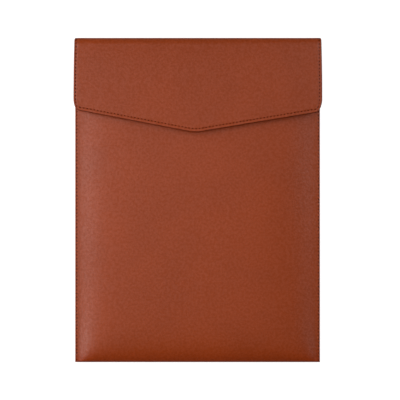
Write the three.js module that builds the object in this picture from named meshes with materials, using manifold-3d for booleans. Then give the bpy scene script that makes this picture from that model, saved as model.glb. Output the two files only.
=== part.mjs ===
import * as THREE from 'three';
import { mergeVertices } from 'three/addons/utils/BufferGeometryUtils.js';
import ManifoldModule from 'manifold-3d';

// A file bag for A4 papers, lying on its back. X runs across it, Y towards the top fold and Z up through its
// front. All sizes are millimetres. "up" is measured from the bottom fold and "down" from the top fold.

const BAG_LENGTH = 324.5; // bottom fold to top fold
const POUCH_WIDTH = 245.1; // between the outer edges of the side seams
const POUCH_SHIFT = -0.35; // the flap is folded over this far off the pouch's middle
const WALL = 1.8; // grained leather with its backing
const GAP = 0.3; // left between pieces

const SEAM_WIDTH = 3.2; // sewn margin along each side
const SEAM_HEIGHT = 3.4; // where front and back meet, above the table
const SIDE_SPREAD = 11.2; // the front is steepest about this far from a seam
const PINCH = { share: 0.42, reach: 47 }; // how much less that is at the bottom corners, and how far up it goes on
const SEAM_KICK = 0.15; // how much of that slope is there at the seam itself
const CROWN = { share: 0.27, spread: 45 }; // the part of the front's rise that goes on across the panel
const BOTTOM_SPREAD = 11; // fall-off of the front's slope above the bottom fold
const CREASE = { share: 0.2, spread: 4 }; // the part of the rise that is close to that fold
const BACK_ROLL = 16; // distance over which the back comes down to the table
const MOUTH_UP = 310; // the pouch's open edge

// Height that the front's outer face comes up to along the middle of the pouch.
const FRONT_FORM = [
  { up: 0, top: 12.4 },
  { up: 40, top: 12.7 },
  { up: 110, top: 12.8 },
  { up: 180, top: 12.6 },
  { up: 215, top: 11.8 },
  { up: 232, top: 11.4 },
  { up: 272, top: 11.2 },
  { up: 324.5, top: 11.1 },
];

const FLAP_FOLD_WIDTH = 246.7; // at the top fold
const FLAP_WIDTH = 247.8; // at its widest
const FLAP_WIDEST_DOWN = 48;
const TOP_ROLL = 8; // reach of the top fold
const FLAP_TIP = { x: -2.9, down: 95.3, radius: 45 };
const FLAP_CORNERS = {
  left: { down: 72.5, radius: 4.5 },
  right: { down: 74.6, radius: 5.5 },
};
const FLAP_DRAW_IN = { from: 61, to: 72, depth: 2.6 }; // the sides curve in towards the corners

// Height of the flap's outer face along its middle, and how far it drops at its two sides.
const FLAP_FORM = [
  { down: 8, top: 13.2, droop: 0.4 },
  { down: 16, top: 14, droop: 0.6 },
  { down: 50, top: 16, droop: 1.2 },
  { down: 95.3, top: 18.6, droop: 1.8 },
];
const DROOP_POWER = 4;

const CLASP = { down: 78, radius: 7, thick: 3.5 };

const manifold = await ManifoldModule();
manifold.setup();

const clamp = THREE.MathUtils.clamp;
const ease = (t) => 1 - (1 - clamp(t, 0, 1)) ** 2;
const swell = (t) => 1 - (1 + Math.max(0, t) / (1 + SEAM_KICK)) * Math.exp(-Math.max(0, t));
const grow = (t) => 1 - Math.exp(-Math.max(0, t));
const steps = (from, to, count, power = 1) =>
  Array.from({ length: count }, (_, i) => from + (to - from) * ((i + 1) / count) ** power);

// A smooth curve through one column of a table, level beyond its ends.
function curve(table, at, column) {
  const places = table.map((row) => row[at]);
  const values = table.map((row) => row[column]);
  const through = new THREE.CubicInterpolant(places, values, 1);
  return (place) => through.evaluate(clamp(place, places[0], places.at(-1)))[0];
}

// The triangles of a grid of points, seen from the side that its columns and rows turn anticlockwise on.
function patch(grid) {
  const triangles = [];
  for (let j = 0; j + 1 < grid.length; j += 1) {
    for (let i = 0; i + 1 < grid[j].length; i += 1) {
      const [a, b, c, d] = [grid[j][i], grid[j][i + 1], grid[j + 1][i + 1], grid[j + 1][i]];
      triangles.push([a, b, c], [a, c, d]);
    }
  }
  return triangles;
}

function outline(grid) {
  const right = grid.map((row) => row.at(-1));
  const left = grid.map((row) => row[0]);
  return [...grid[0], ...right.slice(1), ...grid.at(-1).toReversed().slice(1), ...left.toReversed().slice(1)];
}

// The closed solid between an upper and a lower grid; it tapers out wherever the two meet.
function solidBetween(upper, lower) {
  const under = lower.map((row) => row.toReversed());
  const triangles = [...patch(upper), ...patch(under), ...patch([outline(lower), outline(upper)])];
  const loose = new THREE.BufferGeometry().setFromPoints(triangles.flat());
  const welded = mergeVertices(loose, 1e-4);
  const index = welded.index.array;
  const kept = [];
  for (let k = 0; k < index.length; k += 3) {
    const [a, b, c] = [index[k], index[k + 1], index[k + 2]];
    if (a !== b && b !== c && c !== a) kept.push(a, b, c);
  }
  welded.setIndex(kept);
  return welded;
}

function toManifold(geometry) {
  const mesh = new manifold.Mesh({
    numProp: 3,
    vertProperties: Float32Array.from(geometry.attributes.position.array),
    triVerts: Uint32Array.from(geometry.index.array),
  });
  return new manifold.Manifold(mesh);
}

function cut(body, tool) {
  const mesh = toManifold(body).subtract(toManifold(tool)).getMesh();
  const geometry = new THREE.BufferGeometry();
  geometry.setAttribute('position', new THREE.BufferAttribute(mesh.vertProperties, 3));
  geometry.setIndex(new THREE.BufferAttribute(mesh.triVerts, 1));
  return geometry;
}

function named(name, geometry, colour, roughness, metalness) {
  geometry.computeVertexNormals();
  const mesh = new THREE.Mesh(geometry, new THREE.MeshStandardMaterial({ color: colour, roughness, metalness }));
  mesh.name = name;
  return mesh;
}

// Pouch: a sheet folded at the bottom and sewn up both sides.

const seamLine = POUCH_WIDTH / 2 - SEAM_WIDTH;
const frontTop = curve(FRONT_FORM, 'up', 'top');

// Share of the full rise, from the shares that the seam and the bottom fold allow; they meet in a soft corner.
const meet = (side, bottom) => {
  const [a, b] = [side, bottom].map((share) => Math.max(share, 1e-4) ** -3);
  return side * bottom > 0 ? (a + b - 1) ** (-1 / 3) : 0;
};

const fromSeam = (x) => seamLine - Math.abs(x);
const sideSpread = (up) => SIDE_SPREAD * (1 - PINCH.share * Math.exp(-((Math.max(0, up) / PINCH.reach) ** 2)));
const sideShare = (x, up) =>
  (1 - CROWN.share) * swell(fromSeam(x) / sideSpread(up)) + CROWN.share * grow(fromSeam(x) / CROWN.spread);
const bottomShare = (up) => (1 - CREASE.share) * grow(up / BOTTOM_SPREAD) + CREASE.share * grow(up / CREASE.spread);
const frontRise = (x, up) => (frontTop(up) - SEAM_HEIGHT - WALL) * meet(sideShare(x, up), bottomShare(up));
const backDrop = (x, up) => (SEAM_HEIGHT - WALL) * meet(ease(fromSeam(x) / BACK_ROLL), ease(up / BACK_ROLL));
const foldRound = (up) => Math.sqrt(1 - (1 - clamp(up / WALL, 0, 1)) ** 2) * WALL;

const frontOuter = (x, up) => SEAM_HEIGHT + foldRound(up) + frontRise(x, up);
const backOuter = (x, up) => SEAM_HEIGHT - foldRound(up) - backDrop(x, up);
const frontInner = (x, up) => SEAM_HEIGHT + frontRise(x, up - WALL);
const backInner = (x, up) => SEAM_HEIGHT - backDrop(x, up - WALL);

const mirrored = (half) => [...half.toReversed().map((x) => -x), 0, ...half];
const sideZone = 5 * SIDE_SPREAD;
const rollZone = 4 * BOTTOM_SPREAD;
const seamSteps = [0, ...steps(0, sideZone, 10, 1.5)].map((inset) => seamLine - inset).toReversed();
const panel = [...steps(0, seamSteps[0], 4).slice(0, -1), ...seamSteps];
const foldRows = steps(0, Math.PI / 2, 4).map((angle) => WALL * (1 - Math.cos(angle)));
const rollRows = steps(WALL, rollZone, 9, 1.6);

const gridOver = (columns, rows, height) =>
  rows.map((up) => columns.map((x) => new THREE.Vector3(x + POUCH_SHIFT, up - BAG_LENGTH / 2, height(x, up))));

function buildPouch() {
  const outerColumns = mirrored([...panel, POUCH_WIDTH / 2]);
  const outerRows = [0, ...foldRows, ...rollRows, ...steps(rollRows.at(-1), MOUTH_UP, 12)];
  const innerColumns = mirrored(panel);
  const innerRows = [WALL, ...rollRows, ...steps(rollRows.at(-1), MOUTH_UP + 6, 12)];
  const form = solidBetween(
    gridOver(outerColumns, outerRows, frontOuter),
    gridOver(outerColumns, outerRows, backOuter),
  );
  const pocket = solidBetween(
    gridOver(innerColumns, innerRows, frontInner),
    gridOver(innerColumns, innerRows, backInner),
  );
  return cut(form, pocket);
}

// Flap: it carries on from the back, rolls over the top and lies on the front down to its pointed edge.

const flapHalf = FLAP_WIDTH / 2;
const flapTop = curve(FLAP_FORM, 'down', 'top');
const flapDroop = curve(FLAP_FORM, 'down', 'droop');
const flapOuter = (x, down) => flapTop(down) - flapDroop(down) * Math.abs(x / flapHalf) ** DROOP_POWER;

const slopes = {
  left: (FLAP_TIP.down - FLAP_CORNERS.left.down) / (flapHalf + FLAP_TIP.x),
  right: (FLAP_TIP.down - FLAP_CORNERS.right.down) / (flapHalf - FLAP_TIP.x),
};
const lean = { left: Math.hypot(1, slopes.left), right: Math.hypot(1, slopes.right) };
const straightEdge = (x) => {
  const side = x < FLAP_TIP.x ? 'left' : 'right';
  return FLAP_TIP.down - slopes[side] * Math.abs(x - FLAP_TIP.x);
};

// Arcs that round the two corners and the point, each from one x to another.
function cornerArc(side) {
  const { radius } = FLAP_CORNERS[side];
  const sign = side === 'left' ? -1 : 1;
  const x = sign * (flapHalf - radius);
  const reach = x + (sign * radius * slopes[side]) / lean[side];
  return {
    x,
    down: straightEdge(x) - radius * lean[side],
    radius,
    from: sign < 0 ? -flapHalf : reach,
    to: sign < 0 ? reach : flapHalf,
  };
}

function tipArc() {
  const { radius } = FLAP_TIP;
  const x = FLAP_TIP.x + (radius * (lean.left - lean.right)) / (slopes.left + slopes.right);
  const down = FLAP_TIP.down - slopes.right * (x - FLAP_TIP.x) - radius * lean.right;
  const from = x - (radius * slopes.left) / lean.left;
  const to = x + (radius * slopes.right) / lean.right;
  return { x, down, radius, from, to };
}

const arcs = { left: cornerArc('left'), tip: tipArc(), right: cornerArc('right') };

function edgeDown(x) {
  const arc = Object.values(arcs).find(({ from, to }) => x >= from && x <= to);
  if (!arc) return straightEdge(x);
  return arc.down + Math.sqrt(Math.max(0, arc.radius ** 2 - (x - arc.x) ** 2));
}

function buildFlap() {
  const swing = steps(0, Math.PI / 2, 5).map((angle) => 1 - Math.cos(angle));
  const leftRound = [0, ...swing.slice(0, -1)].map((part) => -flapHalf + part * (arcs.left.to + flapHalf));
  const rightRound = [0, ...swing.slice(0, -1)].map((part) => flapHalf - part * (flapHalf - arcs.right.from));
  const columns = [
    ...leftRound,
    arcs.left.to,
    ...steps(arcs.left.to, arcs.tip.from, 7),
    ...steps(arcs.tip.from, arcs.tip.to, 4),
    ...steps(arcs.tip.to, arcs.right.from, 7),
    ...rightRound.toReversed(),
  ];
  const halfWidth = (down) => {
    const drawn = THREE.MathUtils.clamp(THREE.MathUtils.inverseLerp(FLAP_DRAW_IN.from, FLAP_DRAW_IN.to, down), 0, 1);
    const widening = ease((down - TOP_ROLL) / FLAP_WIDEST_DOWN);
    return THREE.MathUtils.lerp(FLAP_FOLD_WIDTH / 2, flapHalf, widening) - FLAP_DRAW_IN.depth * drawn ** 2;
  };
  const frontShares = [0, ...steps(0, 0.84, 9), ...steps(0.84, 1, 6)].toReversed();
  const turns = steps(90, -90, 12).slice(0, -1);
  const tailUps = [BAG_LENGTH - TOP_ROLL, MOUTH_UP + GAP];
  const tailHalf = (up) =>
    THREE.MathUtils.mapLinear(up, MOUTH_UP, BAG_LENGTH - TOP_ROLL, POUCH_WIDTH / 2, FLAP_FOLD_WIDTH / 2);

  const sheet = (inset) => {
    const point = (x, down, z) => new THREE.Vector3((x / flapHalf) * halfWidth(down), BAG_LENGTH / 2 - down, z);
    const front = frontShares.map((share) =>
      columns.map((x) => {
        const down = THREE.MathUtils.lerp(TOP_ROLL, edgeDown(x), share);
        return point(x, down, flapOuter(x, down) - inset);
      }),
    );
    const fold = turns.map((degrees) =>
      columns.map((x) => {
        const angle = THREE.MathUtils.degToRad(degrees);
        const upper = flapOuter(x, TOP_ROLL) - inset;
        const lower = backOuter(x, MOUTH_UP) + inset;
        const reach = (TOP_ROLL - inset) * Math.cos(angle);
        return point(x, TOP_ROLL - reach, (upper + lower) / 2 + ((upper - lower) / 2) * Math.sin(angle));
      }),
    );
    const tail = tailUps.map((up) =>
      columns.map((column) => {
        const x = (column / flapHalf) * tailHalf(up);
        const shift = POUCH_SHIFT * THREE.MathUtils.mapLinear(up, BAG_LENGTH - TOP_ROLL, MOUTH_UP, 0, 1);
        return new THREE.Vector3(x + shift, up - BAG_LENGTH / 2, backOuter(x, MOUTH_UP) + inset);
      }),
    );
    return [...front, ...fold, ...tail];
  };
  return solidBetween(sheet(0), sheet(WALL));
}

// Clasp: a plain disc hidden under the flap's point, lying with the front's slope.

function placeClasp(mesh) {
  const up = BAG_LENGTH - CLASP.down;
  const below = frontOuter(FLAP_TIP.x - POUCH_SHIFT, up);
  const above = flapOuter(FLAP_TIP.x, CLASP.down) - WALL;
  const slope = (frontTop(up + 5) - frontTop(up - 5) - flapTop(CLASP.down + 5) + flapTop(CLASP.down - 5)) / 20;
  mesh.rotation.x = Math.PI / 2 + Math.atan(slope);
  mesh.position.set(FLAP_TIP.x, up - BAG_LENGTH / 2, (below + above) / 2);
  return mesh;
}

const pouch = named('pouch', buildPouch(), 0x8f442c, 0.55, 0);
const flap = named('flap', buildFlap(), 0x8c412a, 0.55, 0);
const disc = new THREE.CylinderGeometry(CLASP.radius, CLASP.radius, CLASP.thick, 32);
const clasp = placeClasp(named('clasp', disc, 0x8b8d90, 0.35, 1));

const fileBag = new THREE.Group();
fileBag.name = 'file_bag';
fileBag.add(pouch, flap, clasp);

export default fileBag;
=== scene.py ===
import math
import bpy
import numpy as np
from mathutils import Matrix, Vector


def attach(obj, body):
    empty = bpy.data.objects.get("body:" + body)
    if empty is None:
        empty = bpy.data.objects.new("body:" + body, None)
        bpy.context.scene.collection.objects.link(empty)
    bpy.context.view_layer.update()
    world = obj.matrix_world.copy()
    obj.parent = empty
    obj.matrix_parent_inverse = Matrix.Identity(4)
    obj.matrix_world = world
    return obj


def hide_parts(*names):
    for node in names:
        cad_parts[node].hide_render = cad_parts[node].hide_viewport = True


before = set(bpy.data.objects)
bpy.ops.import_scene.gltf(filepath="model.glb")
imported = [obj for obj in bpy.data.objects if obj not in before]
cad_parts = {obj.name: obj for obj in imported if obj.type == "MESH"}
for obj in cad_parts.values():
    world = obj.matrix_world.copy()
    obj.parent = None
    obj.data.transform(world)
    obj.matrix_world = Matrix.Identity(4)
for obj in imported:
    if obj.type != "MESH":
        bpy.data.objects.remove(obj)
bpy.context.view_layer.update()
mm = 0.001  # the frame is in metres, the sizes below are millimetres
print("frame loaded:", ", ".join(sorted(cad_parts)))


def toLinear(colour):
    parts = [int(colour[i:i + 2], 16) / 255 for i in (1, 3, 5)]
    return [c / 12.92 if c <= 0.04045 else ((c + 0.055) / 1.055) ** 2.4 for c in parts] + [1.0]


def addNode(tree, kind, settings, links):
    node = tree.nodes.new(kind)
    for name, value in settings.items():
        if isinstance(name, str) and hasattr(node, name):
            setattr(node, name, value)
        else:
            node.inputs[name].default_value = value
    for name, source in links.items():
        tree.links.new(source, node.inputs[name])
    return node


def newMaterial(name, space):  # with the coordinates that its pattern is laid on
    material = bpy.data.materials.new(name)
    material.use_nodes = True
    tree = material.node_tree
    tree.nodes.clear()
    return material, tree, addNode(tree, "ShaderNodeTexCoord", {}, {}).outputs[space]


def addNoise(tree, place, size, detail):  # soft spots of about this many mm
    return addNode(tree, "ShaderNodeTexNoise", {"Scale": 1 / (size * mm), "Detail": detail}, {"Vector": place})


# sockets of a Mix node that mixes colours: its factor, the two colours, and what comes out
mixShare, mixFrom, mixTo, mixed = 0, 6, 7, 2


def blendTones(tree, share, start, end):
    mix = addNode(tree, "ShaderNodeMix", {"data_type": "RGBA", mixFrom: start, mixTo: end}, {mixShare: share})
    return mix.outputs[mixed]


def shadeTone(tree, tone, settings, links):  # multiplied by a second tone
    settings = {"data_type": "RGBA", "blend_type": "MULTIPLY", **settings}
    return addNode(tree, "ShaderNodeMix", settings, {mixFrom: tone, **links}).outputs[mixed]


def emboss(tree, relief, links):  # relief is its depth in mm and its strength
    depth, strength = relief
    bump = addNode(tree, "ShaderNodeBump", {"Strength": strength, "Distance": depth * mm}, links)
    return bump.outputs["Normal"]


def addSurface(tree, settings, links):
    surface = addNode(tree, "ShaderNodeBsdfPrincipled", settings, links)
    addNode(tree, "ShaderNodeOutputMaterial", {}, {"Surface": surface.outputs["BSDF"]})


# Imitation leather: polyurethane rolled on to a cloth backing and embossed. The eye sees a satin skin of small
# pebbles with soft creases between them, broad dull highlights and a colour that drifts a little.
grainedLeather = {
    "colour": "#963c13",
    "creaseShade": 0.88,  # how dark the creases are against the pebbles: painted shade
    "clumpShade": 0.94,  # how dark the hollows between the swellings are: painted shade in the hollows of bumps that lie at random
    "driftShade": 0.93,  # how dark the slow patches are
    "noiseRange": (0.35, 0.65),  # levels of the noise that count as hollow and as swelling
    "dimpleShadePaintTint": "#dfcbb3",  # painted shade, darker and redder, on the skin in the dimple under a stitch
    "dimpleShadePaintGloss": 0.2,  # share of the shine that is left there
    "foldShadePaintTint": "#f9e0cb",  # painted shade, darker and redder, on the skin round the bottom fold
    # share of the shine that is left round the bottom fold
    "foldShadePaintGloss": 0.5,
    "pebble": 1.5,  # mm across, about twice the real one so that it shows
    "dome": 0.3,  # share of a pebble's size over which it rises from a crease
    "clump": 2.4,  # mm, low swellings of a few pebbles each
    "pore": 0.4,  # mm
    "wander": 7.0,  # mm, how far apart the pebbles change size and direction
    "wanderReach": 1.6,  # pebbles, how far they are moved by it
    "drift": 40.0,  # mm
    "poreRelief": (0.012, 0.2),  # mm and strength
    "pebbleRelief": (0.03, 0.8),
    "clumpRelief": (0.16, 1.0),
    "gloss": 0.5,
    "clumpGloss": 0.105,  # how much more the swellings shine, and the hollows less
    "roughness": 0.355,
    "creaseDull": 0.08,  # how much rougher the creases are
    "topPolish": 0.02,  # how much smoother the pebbles' tops are
    "ior": 1.5,
}


def makeLeather(look):
    material, tree, place = newMaterial("grainedLeather", "Object")
    wander = addNoise(tree, place, look["wander"], 1.0)
    reach = look["pebble"] * mm * look["wanderReach"]
    moved = addNode(tree, "ShaderNodeVectorMath", {"operation": "MULTIPLY_ADD", 1: [reach] * 3}, {
        0: wander.outputs["Color"], 2: place})
    pebbles = addNode(tree, "ShaderNodeTexVoronoi", {
        "feature": "DISTANCE_TO_EDGE", "Scale": 1 / (look["pebble"] * mm)}, {"Vector": moved.outputs[0]})
    domes = addNode(tree, "ShaderNodeMapRange", {
        "interpolation_type": "SMOOTHSTEP", "From Min": 0.0, "From Max": look["dome"]}, {
        "Value": pebbles.outputs["Distance"]}).outputs["Result"]
    clumps = addNoise(tree, place, look["clump"], 1.0).outputs["Fac"]
    pores = addNoise(tree, place, look["pore"], 2.0).outputs["Fac"]
    drift = addNoise(tree, place, look["drift"], 3.0).outputs["Fac"]

    full = toLinear(look["colour"])
    # the creases between the pebbles are darkened: painted shade
    paintedCreaseShade = [c * look["creaseShade"] for c in full[:3]] + [1.0]
    tone = blendTones(tree, domes, paintedCreaseShade, full)
    low, high = look["noiseRange"]
    # the swellings' hollows get painted shade; the slow drift is a tone that varies at random
    for layer, shade in ((clumps, look["clumpShade"]), (drift, look["driftShade"])):
        patches = addNode(tree, "ShaderNodeMapRange", {
            "From Min": high, "From Max": low, "To Min": 1.0, "To Max": shade}, {"Value": layer})
        tone = shadeTone(tree, tone, {mixShare: 1.0}, {mixTo: patches.outputs["Result"]})
    gloss = addNode(tree, "ShaderNodeMapRange", {
        "From Min": low, "From Max": high,
        "To Min": look["gloss"] - look["clumpGloss"], "To Max": look["gloss"] + look["clumpGloss"]}, {
        "Value": clumps}).outputs["Result"]
    for kind in ("dimpleShadePaint", "foldShadePaint"):  # painted shade from the sheets' marks, in the stitch dimples and round the bottom fold, where the shine is duller too
        mark = addNode(tree, "ShaderNodeAttribute", {"attribute_name": kind + "ed"}, {}).outputs["Fac"]
        tone = shadeTone(tree, tone, {mixTo: toLinear(look[kind + "Tint"])}, {mixShare: mark})
        dull = addNode(tree, "ShaderNodeMapRange", {"To Min": 1.0, "To Max": look[kind + "Gloss"]}, {
            "Value": mark})
        gloss = addNode(tree, "ShaderNodeMath", {"operation": "MULTIPLY"}, {
            0: gloss, 1: dull.outputs["Result"]}).outputs["Value"]

    polish = addNode(tree, "ShaderNodeMapRange", {
        "To Min": look["roughness"] + look["creaseDull"], "To Max": look["roughness"] - look["topPolish"]}, {
        "Value": domes})
    normal = emboss(tree, look["poreRelief"], {"Height": pores})
    normal = emboss(tree, look["pebbleRelief"], {"Height": domes, "Normal": normal})
    normal = emboss(tree, look["clumpRelief"], {"Height": clumps, "Normal": normal})
    addSurface(tree, {"IOR": look["ior"]}, {
        "Base Color": tone, "Roughness": polish.outputs["Result"], "Specular IOR Level": gloss, "Normal": normal})
    return material


# Napped backing: the cloth side of the sheet, brushed to a short pile, so it is matt and a little streaked.
nappedBacking = {
    "colour": "#6b3a26",
    "streakColour": "#55291a",
    "pile": 0.6,  # mm
    "pileRelief": (0.15, 0.5),  # mm and strength
    "roughness": 0.9,
    "gloss": 0.1,
    "sheen": 0.2,
}


def makeBacking(look):
    material, tree, place = newMaterial("nappedBacking", "Object")
    pile = addNoise(tree, place, look["pile"], 3.0).outputs["Fac"]
    colour = toLinear(look["colour"])
    addSurface(tree, {
        "Roughness": look["roughness"], "Specular IOR Level": look["gloss"],
        "Sheen Weight": look["sheen"], "Sheen Tint": colour}, {
        "Base Color": blendTones(tree, pile, toLinear(look["streakColour"]), colour),
        "Normal": emboss(tree, look["pileRelief"], {"Height": pile})})
    return material


# Painted edge: the cut edge sealed with edge paint, darker than the skin, smooth with a few brush ripples.
paintedEdge = {
    "colour": "#6a2410",
    "thinColour": "#7d3016",
    "ripple": 2.5,  # mm
    "rippleRelief": (0.1, 0.3),  # mm and strength
    "roughness": 0.5,
    "gloss": 0.2,
}


def makeEdge(look):
    material, tree, place = newMaterial("paintedEdge", "Object")
    ripple = addNoise(tree, place, look["ripple"], 2.0).outputs["Fac"]
    addSurface(tree, {"Roughness": look["roughness"], "Specular IOR Level": look["gloss"]}, {
        "Base Color": blendTones(tree, ripple, toLinear(look["colour"]), toLinear(look["thinColour"])),
        "Normal": emboss(tree, look["rippleRelief"], {"Height": ripple})})
    return material


# Bonded polyester thread: three strands twisted together, so each stitch shows slanting turns and a dull shine.
bondedThread = {
    # the thread's own brown, darkened with painted shade of the sunk stitches
    "colour": "#4a1a0b",
    "shadeColour": "#2c0e05",
    "bands": 0.8,  # scale of the wave that draws the strands, about two bands to a stitch
    "slant": 35.0,  # degrees
    "strandRelief": (0.1, 0.6),  # mm and strength
    "roughness": 0.75,
    "gloss": 0.1,
}


def makeThread(look):
    material, tree, laid = newMaterial("bondedThread", "UV")
    slant = addNode(tree, "ShaderNodeMapping", {"Rotation": (0.0, 0.0, math.radians(look["slant"]))}, {
        "Vector": laid})
    strands = addNode(tree, "ShaderNodeTexWave", {"bands_direction": "Y", "Scale": look["bands"]}, {
        "Vector": slant.outputs["Vector"]}).outputs["Fac"]
    addSurface(tree, {"Roughness": look["roughness"], "Specular IOR Level": look["gloss"]}, {
        "Base Color": blendTones(tree, strands, toLinear(look["shadeColour"]), toLinear(look["colour"])),
        "Normal": emboss(tree, look["strandRelief"], {"Height": strands})})
    return material


# Brushed steel: fine parallel scratches across the disc, a bright metal with a drawn-out highlight.
brushedSteel = {
    "colour": "#a9aaad",
    "scratch": 0.25,  # mm wide
    "drawnOut": 25.0,  # times as long
    "scratchRelief": (0.02, 0.3),  # mm and strength
    "roughness": (0.26, 0.46),
}


def makeSteel(look):
    material, tree, place = newMaterial("brushedSteel", "Object")
    drawn = addNode(tree, "ShaderNodeMapping", {"Scale": (1 / look["drawnOut"], 1.0, 1.0)}, {"Vector": place})
    scratches = addNoise(tree, drawn.outputs["Vector"], look["scratch"], 3.0).outputs["Fac"]
    smooth, rough = look["roughness"]
    polish = addNode(tree, "ShaderNodeMapRange", {"To Min": smooth, "To Max": rough}, {"Value": scratches})
    addSurface(tree, {"Base Color": toLinear(look["colour"]), "Metallic": 1.0}, {
        "Roughness": polish.outputs["Result"],
        "Normal": emboss(tree, look["scratchRelief"], {"Height": scratches})})
    return material


skinLeather = makeLeather(grainedLeather)
backing = makeBacking(nappedBacking)
edgePaint = makeEdge(paintedEdge)
thread = makeThread(bondedThread)
steel = makeSteel(brushedSteel)
print("materials made")


def ease(t):  # quick at first, level at the end
    return 1 - (1 - np.clip(t, 0, 1)) ** 2


def roundOver(inset, radius):  # how far a rounded edge has dropped, this far in from it
    return radius - np.sqrt(np.maximum(0, radius ** 2 - np.clip(radius - inset, 0, radius) ** 2))


def smoothCurve(table):  # a smooth curve through pairs of place and value, level beyond the ends
    places, values = np.array(table, float).T
    slopes = np.gradient(values, places)

    def height(place):
        place = np.clip(place, places[0], places[-1])
        k = np.clip(np.searchsorted(places, place, side="right") - 1, 0, len(places) - 2)
        span = places[k + 1] - places[k]
        t = (place - places[k]) / span
        rise = (values[k + 1] - values[k]) * t * t * (3 - 2 * t)
        return values[k] + rise + span * t * (1 - t) * (slopes[k] * (1 - t) - slopes[k + 1] * t)

    return height


def moveVertices(piece, points):
    piece.data.vertices.foreach_set("co", (points.reshape(-1, 3) * mm).astype(np.float32).ravel())
    piece.data.update()


crispAngle = math.radians(50)  # edges of a sheet that are sharper than this stay crisp


def leatherSheet(name, outer, inner, marks, wall):
    # a flat grid laid on the outer face, given a wall, and the wall's inner face then shaped in the same way
    rows, columns = outer.shape[:2]
    bpy.ops.object.select_all(action="DESELECT")
    bpy.ops.mesh.primitive_grid_add(x_subdivisions=columns - 1, y_subdivisions=rows - 1, size=1)
    piece = bpy.context.object
    piece.name = piece.data.name = name
    for material in (skinLeather, backing, edgePaint):
        piece.data.materials.append(material)
    moveVertices(piece, outer)
    layer = piece.modifiers.new("layer", "SOLIDIFY")
    layer.thickness = wall * mm
    layer.offset = -1
    layer.material_offset = 1
    layer.material_offset_rim = 2
    bpy.ops.object.modifier_apply(modifier="layer")
    moveVertices(piece, np.concatenate([outer.reshape(-1, 3), inner.reshape(-1, 3)]))
    for kind, share in marks.items():  # on the outer face alone
        mark = piece.data.attributes.new(kind, "FLOAT", "POINT")
        mark.data.foreach_set("value", np.concatenate([share.ravel(), 0 * share.ravel()]).astype(np.float32))
    bpy.ops.object.shade_smooth_by_angle(angle=crispAngle)
    print(name, len(piece.data.polygons), "faces")
    return piece


# Pouch: one sheet from the front's open edge, round the bottom fold, to the back's upper edge. "up" is the
# distance from the bottom fold.
pouch = {
    "length": 324.5,  # bottom fold to top fold
    "width": 245.1,
    "shift": -0.35,  # the flap is folded over this far off the pouch's middle
    "wall": 1.8,
    "mouthUp": 310.0,
    "seamWidth": 3.2,  # sewn margin
    "seamHeight": 3.4,  # where front and back meet
    "sideSpread": 11.2,  # the front is steepest about this far from a seam
    "pinch": (0.42, 47.0),  # how much less that is at the bottom corners, and how far up it goes on
    "seamKick": 0.15,  # how steeply the front leaves a seam, 0 for level
    "crown": (0.27, 45.0),  # share of the front's rise that goes on across the panel, and how far it spreads
    "bottomSpread": 11.0,
    "crease": (0.2, 4.0),  # share of the rise that is close to the bottom fold, and how far it spreads
    "backRoll": 16.0,  # the back lies flat from this far in
    "frontTop": [  # up, and the front's height in the middle
        (0, 12.4), (40, 12.7), (110, 12.8), (180, 12.6), (215, 11.8), (232, 11.4), (272, 11.2), (324.5, 11.1)],
    "edgeRound": 0.7,
    "backRound": 0.4,  # same edge, on the backing's side
    "mouthRound": 0.6,
    "mouthBackRound": 0.5,
    "seamSlit": 0.06,  # half the slit that shows between the two layers
    "stitchInset": {-1: 1.7, 1: 1.45},  # on the left and on the right
    "stitchFirst": 0.5,  # up, where the seams start
    "stitchLast": 1.0,  # below the mouth, where they end
    "dimpleFade": 1.5,  # the dimples reach their depth this far from the start
    "foldShadePaint": 8.0,  # how far up the painted shade round the bottom fold reaches
    "foldRows": 9,
    "panelRows": (0.5, 1.0, 4),  # gaps below and above them, and how many to a stitch
    "mouthRows": [0.6, 0.4, 0.2, 0.06, 0],  # below the mouth
    "sideColumns": [  # in from the side
        0, 0.06, 0.22, 0.45, 0.75, 1.05, 1.3, 1.45, 1.6, 1.85, 2.2, 2.7, 3.2, 4, 5.5, 7.5, 10, 13, 17, 22, 28,
        36, 46, 58, 72, 88, 105, 122.55],
}
stitch = {
    "pitch": 3.5,
    "length": 2.3,
    "width": 0.85,
    "height": 0.6,
    "bend": 0.35,  # how far the ends dive
    "sink": 0.22,  # the middle of the thread below the skin
    "dimple": 0.38,  # depth of the skin under a stitch
    "dimpleSpread": 0.62,
    "between": 0.25,  # share of the dimple that is left between two stitches
    "segments": 8,
    "rings": 6,
}

seamLine = pouch["width"] / 2 - pouch["seamWidth"]
frontTop = smoothCurve(pouch["frontTop"])


def meet(side, bottom):  # share of the full rise, with a soft corner where the side's and the bottom's meet
    power, least = 3, 1e-4
    both = np.maximum(side, least) ** -power + np.maximum(bottom, least) ** -power - 1
    return np.where((side > 0) & (bottom > 0), both ** (-1 / power), 0)


def frontRise(x, up):
    fromSeam, up = np.maximum(0, seamLine - np.abs(x)), np.maximum(0, up)
    pinch, pinchUp = pouch["pinch"]
    t = fromSeam / (pouch["sideSpread"] * (1 - pinch * np.exp(-(up / pinchUp) ** 2)))
    swell = 1 - (1 + t / (1 + pouch["seamKick"])) * np.exp(-t)
    crown, crownSpread = pouch["crown"]
    side = swell + crown * (1 - np.exp(-fromSeam / crownSpread) - swell)
    roll = 1 - np.exp(-up / pouch["bottomSpread"])
    crease, creaseSpread = pouch["crease"]
    bottom = roll + crease * (1 - np.exp(-up / creaseSpread) - roll)
    return (frontTop(up) - pouch["seamHeight"] - pouch["wall"]) * meet(side, bottom)


def backDrop(x, up):
    side = ease((seamLine - np.abs(x)) / pouch["backRoll"])
    return (pouch["seamHeight"] - pouch["wall"]) * meet(side, ease(up / pouch["backRoll"]))


def foldShare(up):  # of the wall, round the bottom fold
    return np.sqrt(1 - (1 - np.clip(up / pouch["wall"], 0, 1)) ** 2)


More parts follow.
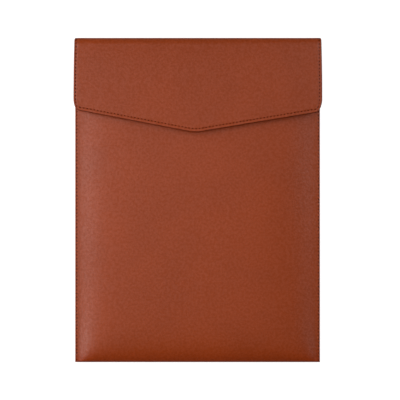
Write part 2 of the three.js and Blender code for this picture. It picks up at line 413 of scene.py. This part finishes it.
def dimpled(fromPath, along):  # share of the dimple beside a seam, which also sets the shade painted in it; a stitch is in the middle of each pitch
    wave = np.cos(2 * np.pi * along / stitch["pitch"])
    share = (1 + stitch["between"]) / 2 - (1 - stitch["between"]) / 2 * wave
    return np.exp(-(fromPath / stitch["dimpleSpread"]) ** 2) * share


def makePouch():
    half, wall, mouth = pouch["width"] / 2, pouch["wall"], pouch["mouthUp"]
    columns = np.array(pouch["sideColumns"])
    across = np.concatenate([columns - half, (half - columns)[::-1][1:]])
    bend = wall * (1 - np.cos(np.linspace(0, np.pi / 2, pouch["foldRows"])))
    below, above, perStitch = pouch["panelRows"]
    panel = np.arange(bend[-1] + below, mouth - above, stitch["pitch"] / perStitch)
    ups = np.concatenate([bend, panel, mouth - np.array(pouch["mouthRows"])])
    up = np.concatenate([ups[::-1], ups[1:]])[:, None] + 0 * across
    face = np.where(np.arange(len(up)) < len(ups), -1, 1)[:, None]  # back first, then the front
    x = across + 0 * up
    front = face > 0
    fromSide = half - np.abs(x)
    fold = foldShare(up)
    middle, height = pouch["length"] / 2, pouch["seamHeight"]
    placed = x + pouch["shift"]

    skin = wall * fold - roundOver(fromSide, pouch["edgeRound"]) * fold
    sewn = np.clip((up - pouch["stitchFirst"]) / pouch["dimpleFade"], 0, 1)
    inset = np.where(x < 0, pouch["stitchInset"][-1], pouch["stitchInset"][1])
    # the dimples' share, which also sets the shade painted in them
    dimpleShadePainted = dimpled(fromSide - inset, up - pouch["stitchFirst"]) * sewn
    skin = skin - stitch["dimple"] * dimpleShadePainted
    skin = skin - np.where(front, roundOver(mouth - up, pouch["mouthRound"]), 0)
    rise = np.where(front, frontRise(x, up), backDrop(x, up))
    outer = np.stack([placed, up - middle, height + face * (skin + rise)], axis=-1)

    inUp = wall + up * (mouth - wall) / mouth
    lift = (pouch["seamSlit"] + roundOver(fromSide, pouch["backRound"])) * fold
    lift = lift + np.where(front, roundOver(mouth - up, pouch["mouthBackRound"]), 0)
    rise = np.where(front, frontRise(x, inUp - wall), backDrop(x, inUp - wall))
    inner = np.stack([placed, inUp - middle, height + face * (lift + rise)], axis=-1)
    # marks of painted shade: in the stitch dimples and round the bottom fold
    marks = {"dimpleShadePainted": dimpleShadePainted, "foldShadePainted": np.exp(-up / pouch["foldShadePaint"])}
    return leatherSheet("pouchLeather", outer, inner, marks, wall)


pouchLeather = makePouch()


# Flap: it carries on from the back, rolls over the top and lies on the front. "down" is the distance from the
# top fold as seen from the front, and "along" the distance on the sheet, 0 where the front leaves the fold.
flap = {
    "width": 247.8,  # at its widest
    "foldWidth": 246.7,  # at the top fold
    "widestAlong": 48.0,
    "roll": 8.0,  # reach of the top fold
    "foldLength": 23.0,
    "tip": (-2.9, 95.2, 45.0),  # x, down, radius
    "leftCorner": (72.4, 4.5),  # down, radius
    "rightCorner": (74.5, 5.5),
    "drawIn": (61.0, 72.0, 2.6),  # the sides curve in towards the corners: from and to, down, and how far
    "top": [(8, 13.2), (16, 14.0), (50, 16.0), (95.3, 18.6)],  # down, and the height in the middle
    "droop": [(8, 0.4), (16, 0.6), (50, 1.2), (95.3, 1.8)],  # down, and how much lower the sides are
    "droopPower": 4,
    "edgeRound": 0.4,
    "backRound": 0.3,
    "bevel": (0.6, 2.0),  # how far the cut edge leans out below the skin, and how far in the skin is drawn back
    "joint": 0.16,  # the tail starts this far above the pouch's back
    "edgeInset": 3.4,  # of the stitching, from the pointed edge
    "leftInset": 2.05,
    "rightInset": 2.7,
    "insetFrom": 10.0,  # along; the side seams start in line with the pouch's and are at their insets here
    "stitchFirst": 0.8,  # from the tail's end
    "underFrom": 4.0,  # along; the underside shows only where the flap lies over the front
    "leftPull": (0.6, 5.0),  # the left side is sewn tighter: its dimples, and the shade painted in them, are wider by this, this far in
    "edgeRows": [0, 0.06, 0.22, 0.45, 0.75, 1.2, 1.7, 2.2, 2.6, 2.9, 3.2, 3.5, 3.8, 4.2, 4.8, 5.6, 7, 10],
    "frontRows": 62,
    "foldRows": 25,
    "tailRows": 10,
    "sideColumns": [0, 0.06, 0.22, 0.45, 0.75, 1.05, 1.35, 1.6, 1.85, 2.1, 2.3, 2.5, 2.7, 3.0, 3.4, 4, 4.8],
    "columnGap": 0.95,  # between the others
}

flapHalf = flap["width"] / 2
flapTop = smoothCurve(flap["top"])
flapDroop = smoothCurve(flap["droop"])
tipX, tipDown, tipRadius = flap["tip"]
leftSlope = (tipDown - flap["leftCorner"][0]) / (flapHalf + tipX)
rightSlope = (tipDown - flap["rightCorner"][0]) / (flapHalf - tipX)
leftLean, rightLean = math.hypot(1, leftSlope), math.hypot(1, rightSlope)
tailLength = pouch["length"] - flap["roll"] - pouch["mouthUp"] - flap["joint"]
sheetEnd = -flap["foldLength"] - tailLength


def straightAlong(x):  # the pointed edge with its corners left sharp
    slope = np.where(x < tipX, leftSlope, rightSlope)
    return tipDown - flap["roll"] - slope * np.abs(x - tipX)


def cornerArc(sign, radius, lean):
    x = sign * (flapHalf - radius)
    return x, float(straightAlong(x)) - radius * lean, radius


# arcs that round the corners and the point: x, along, radius
leftArc = cornerArc(-1, flap["leftCorner"][1], leftLean)
rightArc = cornerArc(1, flap["rightCorner"][1], rightLean)
tipArcX = tipX + tipRadius * (leftLean - rightLean) / (leftSlope + rightSlope)
tipArc = (tipArcX, tipDown - flap["roll"] - rightSlope * (tipArcX - tipX) - tipRadius * rightLean, tipRadius)


def edgeAlong(x):
    along = straightAlong(x)
    spans = [
        (leftArc, -flapHalf, leftArc[0] - leftArc[2] * leftSlope / leftLean),
        (tipArc, tipArc[0] - tipRadius * leftSlope / leftLean, tipArc[0] + tipRadius * rightSlope / rightLean),
        (rightArc, rightArc[0] + rightArc[2] * rightSlope / rightLean, flapHalf),
    ]
    for (arcX, arcAlong, radius), start, end in spans:
        bow = arcAlong + np.sqrt(np.maximum(0, radius ** 2 - (x - arcX) ** 2))
        along = np.where((x >= start) & (x <= end), bow, along)
    return along


def fromOutline(x, along):  # distance in from the flap's side or pointed edge
    def inArc(inside, arc, within):
        arcX, arcAlong, radius = arc
        return np.where(within & (along > arcAlong), radius - np.hypot(x - arcX, along - arcAlong), inside)

    def beside(arc, slope, sign):
        return (x - arc[0]) * sign + (along - arc[1]) * slope

    fromEdge = (straightAlong(x) - along) / np.where(x < tipX, leftLean, rightLean)
    inside = np.minimum(flapHalf - np.abs(x), fromEdge)
    inside = inArc(inside, leftArc, beside(leftArc, leftSlope, 1) < 0)
    inside = inArc(inside, rightArc, beside(rightArc, rightSlope, -1) < 0)
    inTip = (beside(tipArc, leftSlope, 1) > 0) & (beside(tipArc, rightSlope, -1) > 0)
    return np.maximum(0, inArc(inside, tipArc, inTip))


def flapPoints(x, along, depth):  # points this deep under the flap's outer face
    x, along, depth = np.broadcast_arrays(x, along, depth)
    down = flap["roll"] + np.maximum(along, 0)
    tail = np.clip((-along - flap["foldLength"]) / (tailLength + flap["joint"]), 0, 1)
    foldHalf = flap["foldWidth"] / 2
    start, end, drawIn = flap["drawIn"]
    halfHere = foldHalf + (flapHalf - foldHalf) * ease(along / flap["widestAlong"])
    halfHere = halfHere + (pouch["width"] / 2 - foldHalf) * tail
    halfHere = halfHere - drawIn * np.clip((down - start) / (end - start), 0, 1) ** 2
    fromMiddle = x / flapHalf * halfHere
    place = fromMiddle + pouch["shift"] * tail
    upper = flapTop(down) - flapDroop(down) * np.abs(x / flapHalf) ** flap["droopPower"] - depth
    lower = pouch["seamHeight"] - pouch["wall"] - backDrop(fromMiddle, pouch["mouthUp"]) + depth
    turn = np.pi / 2 - np.pi * np.clip(-along / flap["foldLength"], 0, 1)
    reach = (flap["roll"] - depth) * np.cos(turn)
    rolled = (upper + lower) / 2 + (upper - lower) / 2 * np.sin(turn)
    onTail = along < -flap["foldLength"]
    height = np.where(along > 0, upper, np.where(onTail, lower, rolled))
    behind = flap["roll"] - reach + np.where(onTail, -along - flap["foldLength"], 0)
    down = np.where(along > 0, down, behind)
    return np.stack([place, pouch["length"] / 2 - down, height], axis=-1)


pathStep = 0.2  # between points of the stitching's path, and on either side of a point to find a slope
sidePoints, bowPoints = 400, 60  # of the path, before it is evened out


def flapSeam():  # the stitching's path on the sheet, from the tail round the flap and back to the tail
    def side(start, end, sign, inset):
        along = np.linspace(start, end, sidePoints)
        share = np.clip((along - sheetEnd) / (flap["insetFrom"] - sheetEnd), 0, 1)
        first = pouch["stitchInset"][sign]
        inset = first + (inset - first) * share * share * (3 - 2 * share)
        return np.stack([sign * (flapHalf - inset), along], axis=-1)

    def bow(arc, start, end, insetStart, insetEnd):
        angle = np.linspace(start, end, bowPoints)
        radius = arc[2] - np.linspace(insetStart, insetEnd, bowPoints)
        return np.stack([arc[0] + radius * np.cos(angle), arc[1] + radius * np.sin(angle)], axis=-1)

    tailEnd = sheetEnd + flap["stitchFirst"]
    leftInset, edgeInset, rightInset = flap["leftInset"], flap["edgeInset"], flap["rightInset"]
    leftTurn, rightTurn = np.pi / 2 + math.atan(leftSlope), np.pi / 2 - math.atan(rightSlope)
    corners = np.concatenate([
        side(tailEnd, leftArc[1], -1, leftInset),
        bow(leftArc, np.pi, leftTurn, leftInset, edgeInset),
        bow(tipArc, leftTurn, rightTurn, edgeInset, edgeInset),
        bow(rightArc, rightTurn, 0, edgeInset, rightInset),
        side(rightArc[1], tailEnd, 1, rightInset),
    ])
    run = np.concatenate([[0], np.cumsum(np.hypot(*np.diff(corners, axis=0).T))])
    at = np.linspace(0, run[-1], int(run[-1] / pathStep))
    return at, np.stack([np.interp(at, run, corners[:, 0]), np.interp(at, run, corners[:, 1])], axis=-1)


seamRun, seamPath = flapSeam()


def nearSeam(x, along):  # distance from the flap's stitching, and how far along it the nearest point is
    usual, band, farAway, batch = 2.5, 3, 99.0, 2000  # only skin near the usual inset is measured, in batches
    flat = np.stack([np.ravel(x), np.ravel(along)], axis=-1)
    gap, run = np.full(len(flat), farAway), np.zeros(len(flat))
    close = np.flatnonzero(np.abs(fromOutline(flat[:, 0], flat[:, 1]) - usual) < band)
    for part in np.array_split(close, max(1, len(close) // batch)):
        away = np.hypot(flat[part, None, 0] - seamPath[:, 0], flat[part, None, 1] - seamPath[:, 1])
        best = away.argmin(axis=1)
        gap[part], run[part] = away[np.arange(len(part)), best], seamRun[best]
    return gap.reshape(np.shape(x)), run.reshape(np.shape(x))


def drawnBack(x, along):  # where the skin is on the sheet, behind the leaning edge
    inside, (lean, reach) = fromOutline(x, along), flap["bevel"]
    inX = fromOutline(x + pathStep, along) - fromOutline(x - pathStep, along)
    inAlong = fromOutline(x, along + pathStep) - fromOutline(x, along - pathStep)
    pull = lean * np.maximum(0, 1 - inside / reach) / np.maximum(1e-9, np.hypot(inX, inAlong))
    return x + inX * pull, along + inAlong * pull


def makeFlap():
    side = np.array(flap["sideColumns"])
    plainWidth = flap["width"] - 2 * side[-1]
    middle = np.linspace(side[-1] - flapHalf, flapHalf - side[-1], int(plainWidth / flap["columnGap"]))
    across = np.concatenate([side[:-1] - flapHalf, middle, (flapHalf - side[:-1])[::-1]])
    lean = np.where(across < tipX, leftLean, rightLean)
    rows = [edgeAlong(across) - inset * lean for inset in flap["edgeRows"]]
    rows += [rows[-1] * share for share in np.linspace(1, 0, flap["frontRows"])[1:]]
    rows += [across * 0 - part for part in np.linspace(0, flap["foldLength"], flap["foldRows"])[1:]]
    rows += [across * 0 - flap["foldLength"] - part for part in np.linspace(0, tailLength, flap["tailRows"])[1:]]
    along = np.stack(rows)
    x = across + 0 * along
    inside = fromOutline(x, along)
    skinX, skinAlong = drawnBack(x, along)
    gap, run = nearSeam(skinX, skinAlong)
    pull, pullWidth = flap["leftPull"]
    # the dimples' share, which also sets the shade painted in them
    dimpleShadePainted = dimpled(gap * np.where(x < pullWidth - flapHalf, pull, 1), run)
    outer = flapPoints(skinX, skinAlong, roundOver(inside, flap["edgeRound"]) + stitch["dimple"] * dimpleShadePainted)
    inner = flapPoints(x, along, pouch["wall"] - roundOver(inside, flap["backRound"]))
    return leatherSheet("flapLeather", outer, inner, {"dimpleShadePainted": dimpleShadePainted}, pouch["wall"])


flapLeather = makeFlap()


# Stitches: one is drawn out from a sphere, its ends bent down into the skin, and then copied along a seam.
def shapeStitch():
    bpy.ops.object.select_all(action="DESELECT")
    bpy.ops.mesh.primitive_uv_sphere_add(
        segments=stitch["segments"], ring_count=stitch["rings"], radius=0.5, rotation=(0, math.pi / 2, 0))
    bpy.ops.object.transform_apply(location=False, rotation=True, scale=False)
    model = bpy.context.object
    bpy.ops.object.mode_set(mode="EDIT")
    bpy.ops.mesh.select_all(action="SELECT")
    bpy.ops.transform.resize(value=(stitch["length"], stitch["width"], stitch["height"]))
    bpy.ops.object.mode_set(mode="OBJECT")
    shape = np.array([v.co for v in model.data.vertices])
    share = shape[:, 0] / (stitch["length"] / 2)
    shape[:, 2] -= stitch["bend"] * share ** 2
    faces = [list(face.vertices) for face in model.data.polygons]
    wrap = np.array([loop.uv for loop in model.data.uv_layers[0].data])
    bpy.data.objects.remove(model)
    return shape, faces, wrap


stitchShape, stitchFaces, stitchWrap = shapeStitch()


def unit(directions):
    return directions / np.linalg.norm(directions, axis=1, keepdims=True)


def sewSeam(name, places, forward, outward):  # places on the skin, with the seam's and the skin's directions
    forward = unit(forward)
    sideways = unit(np.cross(outward, forward))
    outward = np.cross(forward, sideways)
    points = (places - outward * stitch["sink"])[:, None]
    for k, direction in enumerate((forward, sideways, outward)):
        points = points + stitchShape[:, k, None] * direction[:, None]
    count = len(stitchShape)
    faces = [[corner + count * k for corner in face] for k in range(len(places)) for face in stitchFaces]
    mesh = bpy.data.meshes.new(name)
    mesh.from_pydata((points.reshape(-1, 3) * mm).tolist(), [], faces)
    mesh.uv_layers.new(name="wrap").data.foreach_set("uv", np.tile(stitchWrap, (len(places), 1)).ravel())
    mesh.materials.append(thread)
    piece = bpy.data.objects.new(name, mesh)
    bpy.context.collection.objects.link(piece)
    bpy.ops.object.select_all(action="DESELECT")
    piece.select_set(True)
    bpy.context.view_layer.objects.active = piece
    bpy.ops.object.shade_smooth()
    print(name, len(places), "stitches")
    return piece


def sewPouch(name, sign):
    x = sign * (pouch["width"] / 2 - pouch["stitchInset"][sign]) + pouch["shift"]
    first, last = pouch["stitchFirst"] + stitch["pitch"] / 2, pouch["mouthUp"] - pouch["stitchLast"]
    y = np.arange(first, last, stitch["pitch"]) - pouch["length"] / 2
    rows = [np.stack([x + 0 * y, y, pouch["seamHeight"] + face * pouch["wall"] + 0 * y], axis=-1)
            for face in (1, -1)]
    outward = np.repeat([[0, 0, 1.0], [0, 0, -1.0]], len(y), axis=0)
    return sewSeam(name, np.concatenate(rows), np.tile([0, 1.0, 0], (len(outward), 1)), outward)


def sewFlap():
    def onPath(run):
        return np.interp(run, seamRun, seamPath[:, 0]), np.interp(run, seamRun, seamPath[:, 1])

    runs = np.arange(stitch["pitch"] / 2, seamRun[-1] - stitch["pitch"] / 2, stitch["pitch"])
    skin = flapPoints(*onPath(runs), 0)
    under = flapPoints(*onPath(runs), pouch["wall"])
    forward = flapPoints(*onPath(runs + pathStep), 0) - flapPoints(*onPath(runs - pathStep), 0)
    outward = unit(skin - under)
    below = onPath(runs)[1] > flap["underFrom"]
    return sewSeam("flapThread", np.concatenate([skin, under[below]]), np.concatenate([forward, forward[below]]),
                   np.concatenate([outward, -outward[below]]))


leftThread = sewPouch("leftSeamThread", -1)
rightThread = sewPouch("rightSeamThread", 1)
flapThread = sewFlap()

clasp = bpy.data.objects["clasp"]
clasp.data.materials.clear()
clasp.data.materials.append(steel)

slots = {"leather": (pouchLeather, flapLeather), "thread": (leftThread, rightThread, flapThread)}
for slot, pieces in slots.items():
    for piece in pieces:
        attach(piece, "root")
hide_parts("pouch")
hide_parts("flap")
print("pieces ride on the frame")


# Studio: a light table under the bag in a dim room, a long softbox on the left, a smaller one on the right, a
# large one overhead and a small panel close over the bag, which lights its middle a little more than its ends
# and is kept out of reflections. Places and sizes are in metres, and lamps are in watts.
studio = {
    "room": 0.02,
    "backdrop": 0.9,  # the pale wall that shows past the table
    "lamps": {
        "key": {
            "place": (-0.8, 0.028, 0.513), "aim": (0.0, -0.298, 0.0), "size": (1.106, 0.795), "power": 9.95},
        "fill": {
            "place": (0.581, 0.15, 0.466), "aim": (0.0, -0.296, 0.0), "size": (0.907, 0.436), "power": 2.2},
        "overhead": {
            "place": (-0.201, 0.13, 1.853), "aim": (-0.201, 0.13, 0.0), "size": (0.593, 0.941), "power": 2.18},
        "panel": {
            "place": (-0.027, -0.043, 0.361), "aim": (-0.027, -0.043, 0.0), "size": (0.3, 0.3), "power": 0.45},
    },
    "table": ("#8c8b89", "#90908e"),
    "tableRoughness": 0.95,
    "tableGlow": 0.93,
    "tableMottle": 1.2,  # mm
    "tableSize": 12.0,
    "tableDrop": 0.0001,  # below the bag
    "cameraPlace": (2.12, 0.18, 1604.0),  # mm, straight above the bag
    "sensor": 36.0,  # mm
    "viewAcross": 400.8,  # mm seen across the picture, at this height
    "viewHeight": 4.0,  # mm, about the seams'
    "farthest": 20.0,
}

# Opal acrylic: the top of a light table, evenly lit from below, so that the bag's shadow hardly shows on it.
acrylic, tree, ground = newMaterial("opalAcrylic", "Object")
mottle = addNoise(tree, ground, studio["tableMottle"], 2.0).outputs["Fac"]
tableTone = blendTones(tree, mottle, *[toLinear(colour) for colour in studio["table"]])
addSurface(tree, {
    "Roughness": studio["tableRoughness"], "Specular IOR Level": 0.0,
    "Emission Color": (1, 1, 1, 1), "Emission Strength": studio["tableGlow"]}, {"Base Color": tableTone})

bpy.ops.object.select_all(action="DESELECT")
bpy.ops.mesh.primitive_plane_add(size=studio["tableSize"], location=(0, 0, -studio["tableDrop"]))
bpy.ops.object.transform_apply(location=True, rotation=False, scale=False)
floor = bpy.context.object
floor.name = "floor"
floor.data.materials.append(acrylic)
floor.visible_glossy = False  # black cards stand round the bag, so its edges do not mirror the table

world = bpy.data.worlds.new("studioRoom")
bpy.context.scene.world = world
world.use_nodes = True
tree = world.node_tree
tree.nodes.clear()
room, backdrop = [
    addNode(tree, "ShaderNodeBackground", {"Color": (1, 1, 1, 1), "Strength": studio[part]}, {}).outputs[0]
    for part in ("room", "backdrop")]
seen = addNode(tree, "ShaderNodeLightPath", {}, {}).outputs["Is Camera Ray"]
both = addNode(tree, "ShaderNodeMixShader", {}, {0: seen, 1: room, 2: backdrop})
addNode(tree, "ShaderNodeOutputWorld", {}, {"Surface": both.outputs[0]})

for name, light in studio["lamps"].items():
    bpy.ops.object.light_add(type="AREA", location=light["place"])
    lamp = bpy.context.object
    lamp.name = name + "Softbox"
    lamp.data.shape = "RECTANGLE"
    lamp.data.size, lamp.data.size_y = light["size"]
    lamp.data.energy = light["power"]
    lamp.rotation_euler = (Vector(light["aim"]) - lamp.location).to_track_quat("-Z", "Y").to_euler()
    lamp.visible_camera = False
    lamp.visible_glossy = lamp.data.cycles.use_multiple_importance_sampling = name != "panel"

bpy.ops.object.camera_add(location=[c * mm for c in studio["cameraPlace"]], rotation=(0, 0, 0))
camera = bpy.context.object
camera.data.sensor_width = studio["sensor"]
viewDistance = studio["cameraPlace"][2] - studio["viewHeight"]
camera.data.lens = studio["sensor"] * viewDistance / studio["viewAcross"]
camera.data.clip_end = studio["farthest"]
bpy.context.scene.camera = camera
bpy.context.scene.view_settings.view_transform = "Standard"
print("studio set")
